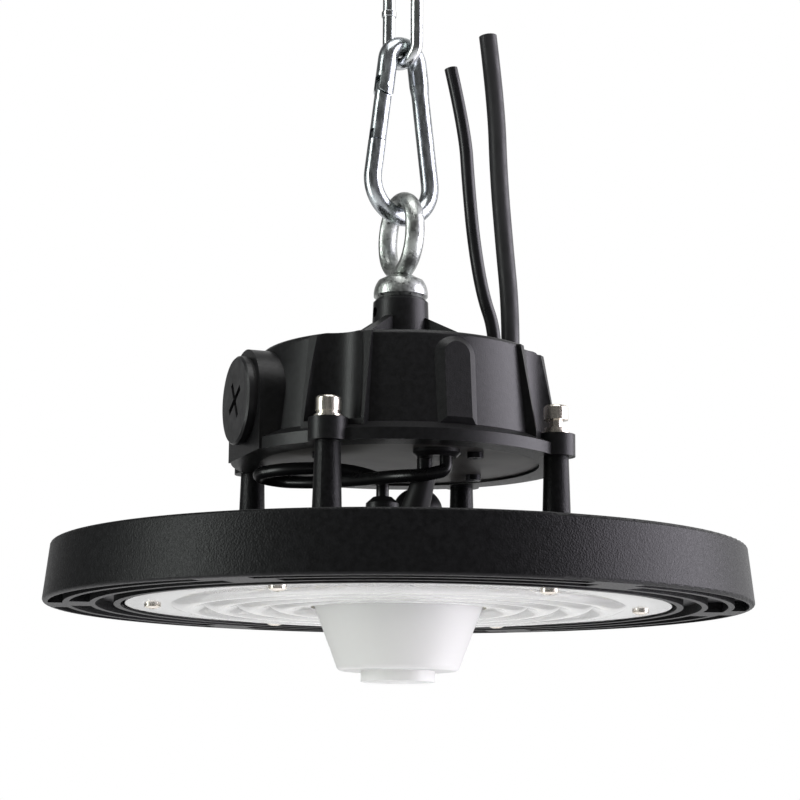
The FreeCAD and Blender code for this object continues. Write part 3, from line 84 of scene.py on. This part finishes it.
# %% [markdown]
# ## Node helpers
# Every finish below is a Principled shader with a few textures in front of it.  The nodes could
# be placed by hand in the shader editor.  Three small helpers do it in one line each, and keep
# the finishes short enough to compare.


# %% Node helpers
def new_finish(name, colour, roughness, metallic=0.0):
    """A material with one Principled shader, ready for its textures."""
    finish = bpy.data.materials.new(name)
    finish.use_nodes = True
    shader = finish.node_tree.nodes["Principled BSDF"]
    shader.inputs["Base Color"].default_value = (*colour, 1)
    shader.inputs["Roughness"].default_value = roughness
    shader.inputs["Metallic"].default_value = metallic
    return finish, shader


def node(finish, kind, **sockets):
    """A new node with some of its sockets set."""
    made = finish.node_tree.nodes.new(kind)
    for name, value in sockets.items():
        made.inputs[name].default_value = value
    return made


def wire(finish, source, target):
    """A link from one socket to the next."""
    finish.node_tree.links.new(source, target)


print("materials before dressing:", len(bpy.data.materials))

# %% [markdown]
# ## Patterns
# Grain, pebbles and relief come from procedural textures, which need no unwrapped faces and stay
# sharp at any distance.  Object coordinates are metres here, because every solid sits at the
# origin, so a texture scale of 1000 makes grains of about a millimetre.


# %% Patterns
def place_of(finish, stretch=(1, 1, 1)):
    """Object coordinates, stretched by a factor along each axis."""
    spot = node(finish, "ShaderNodeTexCoord")
    scale = node(finish, "ShaderNodeMapping", Scale=stretch)
    wire(finish, spot.outputs["Object"], scale.inputs["Vector"])
    return scale.outputs["Vector"]


def grain(finish, scale, detail=3.0, stretch=(1, 1, 1), rough=0.5):
    """A cloudy pattern between 0 and 1."""
    made = node(finish, "ShaderNodeTexNoise", Scale=scale, Detail=detail, Roughness=rough)
    wire(finish, place_of(finish, stretch), made.inputs["Vector"])
    return made.outputs["Fac"]


def pebbles(finish, scale, smooth=0.6):
    """Rounded grains, as orange peel or cast metal has them."""
    made = node(finish, "ShaderNodeTexVoronoi", Scale=scale)
    made.feature = "SMOOTH_F1"
    made.inputs["Smoothness"].default_value = smooth
    wire(finish, place_of(finish), made.inputs["Vector"])
    return made.outputs["Distance"]


def between(finish, pattern, low, high, start=0.3, end=0.7):
    """The pattern, turned into values from low to high."""
    made = node(finish, "ShaderNodeMapRange")
    made.inputs["From Min"].default_value = start
    made.inputs["From Max"].default_value = end
    made.inputs["To Min"].default_value = low
    made.inputs["To Max"].default_value = high
    wire(finish, pattern, made.inputs["Value"])
    return made.outputs["Result"]


def tint(finish, pattern, first, second, start=0.35, end=0.65):
    """A colour that drifts from the first to the second."""
    ramp = node(finish, "ShaderNodeValToRGB")
    ramp.color_ramp.elements[0].position = start
    ramp.color_ramp.elements[0].color = (*first, 1)
    ramp.color_ramp.elements[1].position = end
    ramp.color_ramp.elements[1].color = (*second, 1)
    wire(finish, pattern, ramp.inputs["Fac"])
    return ramp.outputs["Color"]


def relief(finish, shader, pattern, depth, strength=1.0, under=None):
    """Bumps of a given depth in metres, on top of other bumps if there are any."""
    bump = node(finish, "ShaderNodeBump", Strength=strength, Distance=depth)
    wire(finish, pattern, bump.inputs["Height"])
    if under:
        wire(finish, under.outputs["Normal"], bump.inputs["Normal"])
    wire(finish, bump.outputs["Normal"], shader.inputs["Normal"])
    return bump


print("pattern makers:", ", ".join(maker.__name__ for maker in (grain, pebbles, relief)))

# %% [markdown]
# ## Dressing a piece
# A solid keeps its shape and only gets a new material in its slot.  One call can dress several
# pieces, because parts from the same bath or mould share a finish on the real light too.


# %% Dressing a piece
def wear(finish, *names):
    """Give CAD pieces a finish."""
    for name in names:
        piece = nodes[name]
        piece.data.materials.clear()
        piece.data.materials.append(finish)
    print(finish.name, "on", ", ".join(names))


# %% [markdown]
# ## Powder coat
# The castings are painted with black powder, which melts into a skin of tiny rounded grains.
# Each grain catches a spark of light, so the black never looks flat.  Smooth Voronoi cells make
# the grains, and a slow noise under them stands for the uneven casting.  Displaced faces could
# carry the grains, but that takes millions of them, and bumps this shallow never show on an
# edge.  The disc is coarser than the driver housing, so one recipe makes two finishes.

# %% Powder coat
COAT_BLACK = (0.004, 0.004, 0.0045)
COAT_DARKER = (0.0022, 0.0022, 0.0024)
COAT_LIGHTER = (0.0048, 0.0048, 0.0052)
CLOUD_SCALE = 500
LUMPS_PER_GRAIN = 0.4


def powder_coat(name, grain_size, depth, lumps, roughness, shine):
    """Black paint of rounded grains, over the casting's own lumps."""
    finish, shader = new_finish(name, COAT_BLACK, roughness)
    shader.inputs["Specular IOR Level"].default_value = shine
    cast = relief(finish, shader, grain(finish, LUMPS_PER_GRAIN / grain_size, 2), lumps, 0.4)
    relief(finish, shader, pebbles(finish, 1 / grain_size), depth, 0.7, cast)
    polish = between(
        finish, grain(finish, 1 / grain_size, 2), roughness - 0.07, roughness + 0.09)
    wire(finish, polish, shader.inputs["Roughness"])
    clouds = tint(finish, grain(finish, CLOUD_SCALE, 2), COAT_DARKER, COAT_LIGHTER)
    wire(finish, clouds, shader.inputs["Base Color"])
    return finish


coarse_coat = powder_coat(
    "coarse_coat", grain_size=0.62 * MM, depth=0.00013, lumps=0.00012, roughness=0.40, shine=0.15)
fine_coat = powder_coat(
    "fine_coat", grain_size=0.40 * MM, depth=0.00004, lumps=0.00003, roughness=0.38, shine=0.25)
wear(coarse_coat, "heat_sink")
wear(fine_coat, "housing")

# %% [markdown]
# ## Painted cover
# The round cover under the housing is a stamped plate with thin grey paint.  A flat grey would
# look like card, so a slow noise shifts the shade and a fine one dents the skin.  A little of
# the metal shows through the paint, which the Metallic socket gives.

# %% Painted cover
COVER_GREY = (0.20, 0.19, 0.175)
COVER_DARKER = (0.105, 0.10, 0.092)
COVER_LIGHTER = (0.16, 0.153, 0.142)

cover_paint, cover_shader = new_finish("cover_paint", COVER_GREY, 0.42, 0.2)
relief(cover_paint, cover_shader, grain(cover_paint, 700, 3), 0.00006, 0.5)
cover_clouds = tint(cover_paint, grain(cover_paint, 60), COVER_DARKER, COVER_LIGHTER)
wire(cover_paint, cover_clouds, cover_shader.inputs["Base Color"])
wear(cover_paint, "base_cover")

# %% [markdown]
# ## Bright metals
# The hook and chain are zinc plated.  Zinc turns faintly violet and yellow where the plating is
# thicker, so its colour drifts slowly.  The eye bolt was dipped instead, which leaves it dull
# and lumpy.  The screws are nickel, which is warmer.  A clear mirror would look like chrome, so
# the noise is stretched along the wire, the way the steel was drawn before it was plated.

# %% Bright metals
ALONG_THE_WIRE = (1, 1, 0.2)
EVERY_WAY = (1, 1, 1)


def plated(name, first, second, roughness, lumps=0.00003, drawn=ALONG_THE_WIRE):
    """Bare metal whose colour, polish and surface drift a little."""
    finish, shader = new_finish(name, first, roughness, 1.0)
    drift = tint(finish, grain(finish, 240, 3, drawn), first, second)
    wire(finish, drift, shader.inputs["Base Color"])
    polish = between(finish, grain(finish, 800, 3, drawn), roughness * 0.7, roughness * 1.5)
    wire(finish, polish, shader.inputs["Roughness"])
    soft = relief(finish, shader, grain(finish, 220, 2, drawn), lumps * 4, 0.5)
    relief(finish, shader, grain(finish, 1400, 3, drawn), lumps, 0.6, soft)
    return finish


hook_zinc = plated("hook_zinc", (0.48, 0.51, 0.52), (0.35, 0.37, 0.39), 0.24)
chain_zinc = plated("chain_zinc", (0.56, 0.58, 0.58), (0.42, 0.43, 0.44), 0.20)
dipped_zinc = plated(
    "dipped_zinc", (0.42, 0.44, 0.42), (0.28, 0.29, 0.28), 0.34, 0.00012, EVERY_WAY)
nickel = plated("nickel", (0.82, 0.77, 0.69), (0.68, 0.63, 0.55), 0.24, 0.00001)
black_zinc = plated("black_zinc", (0.05, 0.05, 0.055), (0.03, 0.03, 0.032), 0.35, 0.00001)
wear(hook_zinc, "snap_hook", "hook_gate", "gate_rivet")
wear(chain_zinc, "upper_link", "lower_link")
wear(dipped_zinc, "eye_bolt")
wear(nickel, "post_screws", "flat_washers", "spring_washers", "lens_screws", "gate_spring")
wear(black_zinc, "base_cover_screws", "eye_lock_screw")

# %% [markdown]
# ## Black plastic and rubber
# The plug, glands and breather are moulded nylon, a little shinier than the paint.  The seals
# and the boot are silicone rubber, and the cables have a matt and a glossy jacket.  Each could
# have its own tree of nodes, but they all come from a mould or an extruder with a fine even
# skin, so one recipe with five settings is enough.


# %% Black plastic and rubber
def moulded(name, colour, roughness, scale, depth):
    """A plastic or rubber skin with a fine even grain."""
    finish, shader = new_finish(name, colour, roughness)
    shader.inputs["Specular IOR Level"].default_value = 0.3
    relief(finish, shader, grain(finish, scale, 3), depth, 0.5)
    wire(finish, between(finish, grain(finish, scale / 4), roughness * 0.8, roughness * 1.2),
         shader.inputs["Roughness"])
    return finish


nylon = moulded("nylon", (0.010, 0.010, 0.0105), 0.38, 900, 0.00006)
silicone = moulded("silicone", (0.008, 0.008, 0.008), 0.5, 500, 0.00005)
wear(nylon, "side_plug", "mains_gland", "control_gland", "lead_gland", "lamp_gland", "breather",
     "sensor_base")
wear(silicone, "side_plug_seal", "cover_gasket", "lens_gasket", "sensor_boot")
jacket = moulded("cable_jacket", (0.013, 0.013, 0.0135), 0.46, 700, 0.00005)
thin_jacket = moulded("thin_jacket", (0.006, 0.006, 0.0065), 0.30, 500, 0.00003)
wear(thin_jacket, "loop_lead", "feed_lead")

# %% [markdown]
# ## Boards and their parts
# The light board is coated white so that it throws light out, and each chip is a square of
# yellow phosphor.  The other boards are green.  They sit behind the lens or inside a cover, so
# the moulded recipe serves again and only the colours differ.

# %% Boards and their parts
white_board = moulded("white_board", (0.80, 0.81, 0.80), 0.35, 600, 0.00002)
phosphor = moulded("phosphor", (0.80, 0.66, 0.22), 0.35, 900, 0.00003)
green_board = moulded("green_board", (0.02, 0.13, 0.06), 0.3, 500, 0.00002)
components = moulded("components", (0.16, 0.16, 0.17), 0.4, 400, 0.00004)
wear(white_board, "led_board")
wear(phosphor, "led_chips")
wear(green_board, "driver_board", "sensor_board")
wear(components, "driver_parts", "sensor_parts")

# %% [markdown]
# ## Clear lens and frosted cover
# The lens is clear polycarbonate with round bulges that spread the light.  The sensor's cover is
# the same plastic with a frosted skin, so what is inside shows only as a soft shadow.  A glass
# shader would leave both too clear.  The Principled shader can pass part of the light and
# scatter the rest as its own pale colour, which is what this plastic does.

# %% Clear lens and frosted cover
PLASTIC_IOR = 1.49


def clear_plastic(name, colour, roughness, transmission):
    """Plastic that passes a share of the light and scatters the rest."""
    finish, shader = new_finish(name, colour, roughness)
    shader.inputs["Transmission Weight"].default_value = transmission
    shader.inputs["IOR"].default_value = PLASTIC_IOR
    return finish, shader


lens_plastic, lens_shader = clear_plastic("lens_plastic", (0.885, 0.885, 0.87), 0.08, 0.86)
relief(lens_plastic, lens_shader, grain(lens_plastic, 45, 2), 0.0002, 0.2)
wear(lens_plastic, "lens")

frosted, frosted_shader = clear_plastic("frosted", (0.87, 0.87, 0.85), 0.5, 0.6)
relief(frosted, frosted_shader, grain(frosted, 1500, 2), 0.00003, 0.6)
wear(frosted, "sensor_cover")

# %% [markdown]
# ## Two cables
# Both cables leave their glands upwards and are stiff enough to stand beside the chain, where
# they end in a plain cut.  They could be left as swept solids.  A NURBS curve of order 3 runs
# more smoothly past its points, and its bevel gives it its thickness.  The points are steps in
# millimetres from the top of the gland.


# %% Two cables
def cable(name, gland, route, diameter, finish):
    """A stiff cable that leaves the top of its gland."""
    low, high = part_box(gland)
    start = Vector(((low[0] + high[0]) / 2, (low[1] + high[1]) / 2, high[2]))
    curve = bpy.data.curves.new(name, "CURVE")
    curve.dimensions = "3D"
    curve.bevel_depth = diameter / 2
    curve.bevel_resolution = 8
    curve.resolution_u = 16
    curve.use_fill_caps = True
    spline = curve.splines.new("NURBS")
    spline.points.add(len(route) - 1)
    for point, step in zip(spline.points, route):
        point.co = (*(start + Vector(step) * MM), 1)
    spline.order_u = 3
    spline.use_endpoint_u = True
    curve.materials.append(finish)
    piece = bpy.data.objects.new(name, curve)
    bpy.context.scene.collection.objects.link(piece)
    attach(piece, "lamp")
    return piece, start


MAINS_ROUTE = (
    (0.0, 0.0, 0.0), (0.0, 0.0, 17.4), (-2.1, 0.9, 42.4), (-4.1, 1.7, 70.4), (-4.9, 2.1, 99.4),
    (-8.0, 3.2, 127.7))
CONTROL_ROUTE = (
    (0.0, 0.0, 0.0), (0.0, 0.0, 11.0), (-4.4, 1.7, 24.9), (-7.7, 3.0, 46.4), (-9.7, 3.8, 70.4),
    (-11.0, 4.3, 92.4), (-16.3, 6.3, 118.3))
for name, route, diameter, length, finish, slot in (
        ("mains", MAINS_ROUTE, 0.0071, 0.1281, jacket, "cable_jacket"),
        ("control", CONTROL_ROUTE, 0.0053, 0.1198, thin_jacket, "gloss_jacket")):
    piece, start = cable(name + "_cable_curve", name + "_gland", route, diameter, finish)
    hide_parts(name + "_cable")
    print(name, "cable leaves at", [round(value, 4) for value in start])

# %% [markdown]
# ## Places round the light
# The studio is laid out in turns: a lamp is so many degrees round from the camera, so far away
# and so high.  Counting the turn from the camera keeps the whole set in step if the view is
# turned.


# %% Places round the light
def from_camera(turn, away, height):
    """A place round the light: 0 degrees is in front, 90 is on its right."""
    angle = AZIMUTH + math.radians(turn)
    return Vector((away * math.sin(angle), -away * math.cos(angle), height))


MIDDLE = Vector((0, 0, -0.22))
print("in front is", [round(value, 2) for value in from_camera(0, 1, 0)])

# %% [markdown]
# ## White wall and dim room
# The light hangs before a white wall, and the room in front of it is dim.  Camera and glass rays
# see pure white all round.  Mirror rays see the wall behind the light, a little to its right,
# and the dim room in front, which is what gives black paint its depth and plated steel its dark
# core.  A real wall and black cloths could be modelled, but the world can tell the kinds of ray
# apart, and needs no meshes.

# %% White wall and dim room
ROOM_LIGHT = 0.70
DIM_ROOM = 0.09
WALL_TURN = 152
WALL_STARTS = 0.2
WALL_IS_FULL = 0.95


def white_world():
    """White for the camera and through glass, and a white back wall in a dim room for gloss."""
    world = bpy.data.worlds.new("studio")
    world.use_nodes = True
    bpy.context.scene.world = world
    tree = world.node_tree
    tree.nodes.clear()

    def add(kind, operation=None):
        made = tree.nodes.new(kind)
        if operation:
            made.operation = operation
        return made

    output, path = add("ShaderNodeOutputWorld"), add("ShaderNodeLightPath")
    lit, mirrored, white = (add("ShaderNodeBackground") for _ in range(3))
    lit.inputs["Strength"].default_value = ROOM_LIGHT
    for shade in (lit, mirrored, white):
        shade.inputs["Color"].default_value = (1, 1, 1, 1)
    spot, wall = add("ShaderNodeTexCoord"), add("ShaderNodeMapRange")
    facing = add("ShaderNodeVectorMath", "DOT_PRODUCT")
    facing.inputs[1].default_value = from_camera(WALL_TURN, 1, 0)
    wall.interpolation_type = "SMOOTHSTEP"
    wall.inputs["From Min"].default_value = WALL_STARTS
    wall.inputs["From Max"].default_value = WALL_IS_FULL
    wall.inputs["To Min"].default_value = DIM_ROOM
    wall.inputs["To Max"].default_value = 1.0
    tree.links.new(spot.outputs["Generated"], facing.inputs[0])
    tree.links.new(facing.outputs["Value"], wall.inputs["Value"])
    tree.links.new(wall.outputs["Result"], mirrored.inputs["Strength"])
    seen = add("ShaderNodeMath", "MAXIMUM")
    gloss, final = add("ShaderNodeMixShader"), add("ShaderNodeMixShader")
    tree.links.new(path.outputs["Is Glossy Ray"], gloss.inputs["Fac"])
    tree.links.new(lit.outputs[0], gloss.inputs[1])
    tree.links.new(mirrored.outputs[0], gloss.inputs[2])
    tree.links.new(path.outputs["Is Camera Ray"], seen.inputs[0])
    tree.links.new(path.outputs["Is Transmission Ray"], seen.inputs[1])
    tree.links.new(seen.outputs[0], final.inputs["Fac"])
    tree.links.new(gloss.outputs[0], final.inputs[1])
    tree.links.new(white.outputs[0], final.inputs[2])
    tree.links.new(final.outputs[0], output.inputs["Surface"])


white_world()
print("the room lights with", ROOM_LIGHT, "and the wall stands", WALL_TURN, "degrees round")

# %% [markdown]
# ## Soft boxes
# Two tall soft boxes draw a sheen down the sides of the castings: a narrow, faintly green one on
# the left and a wide, faintly violet one on the right.  A third hangs above.  Spots would leave
# small hard glints, and sheets of light are what a product studio uses on black paint.


# %% Soft boxes
def soft_box(name, place, size, watts, colour=(1, 1, 1)):
    """A sheet of light that faces the middle of the light and stays out of view."""
    data = bpy.data.lights.new(name, "AREA")
    data.shape = "RECTANGLE"
    data.size, data.size_y = size
    data.energy = watts
    data.color = colour
    lamp = bpy.data.objects.new(name, data)
    bpy.context.scene.collection.objects.link(lamp)
    lamp.location = place
    lamp.rotation_euler = (MIDDLE - place).to_track_quat("-Z", "Y").to_euler()
    lamp.visible_camera = False
    print(name, "at", [round(value, 2) for value in place], "with", watts, "W")


soft_box("left_box", from_camera(-68, 1.2, -0.1), (0.35, 1.5), 14, (0.95, 1.0, 0.97))
soft_box("right_box", from_camera(88, 1.2, -0.1), (1.1, 1.5), 36, (0.94, 0.90, 1.0))
soft_box("top_box", from_camera(20, 0.3, 0.9), (0.8, 0.8), 8)

# %% [markdown]
# ## Floor
# The light hangs, so the floor lies well below it and only shows from above.  A curved backdrop
# would do as well, but a flat pale sheet is all that a hanging thing needs under it.  The view
# transform is set to Standard, so that a colour shows about as it is written.

# %% Floor
FLOOR_SIZE = 8
FLOOR_LEVEL = -1.0

bpy.ops.mesh.primitive_plane_add(size=FLOOR_SIZE, location=(0, 0, FLOOR_LEVEL))
floor = bpy.context.object
floor.name = "studio_floor"
floor.data.materials.append(new_finish("floor_paint", (0.86, 0.86, 0.86), 0.9)[0])
bpy.context.scene.view_settings.view_transform = "Standard"
print("floor at", FLOOR_LEVEL, "m")
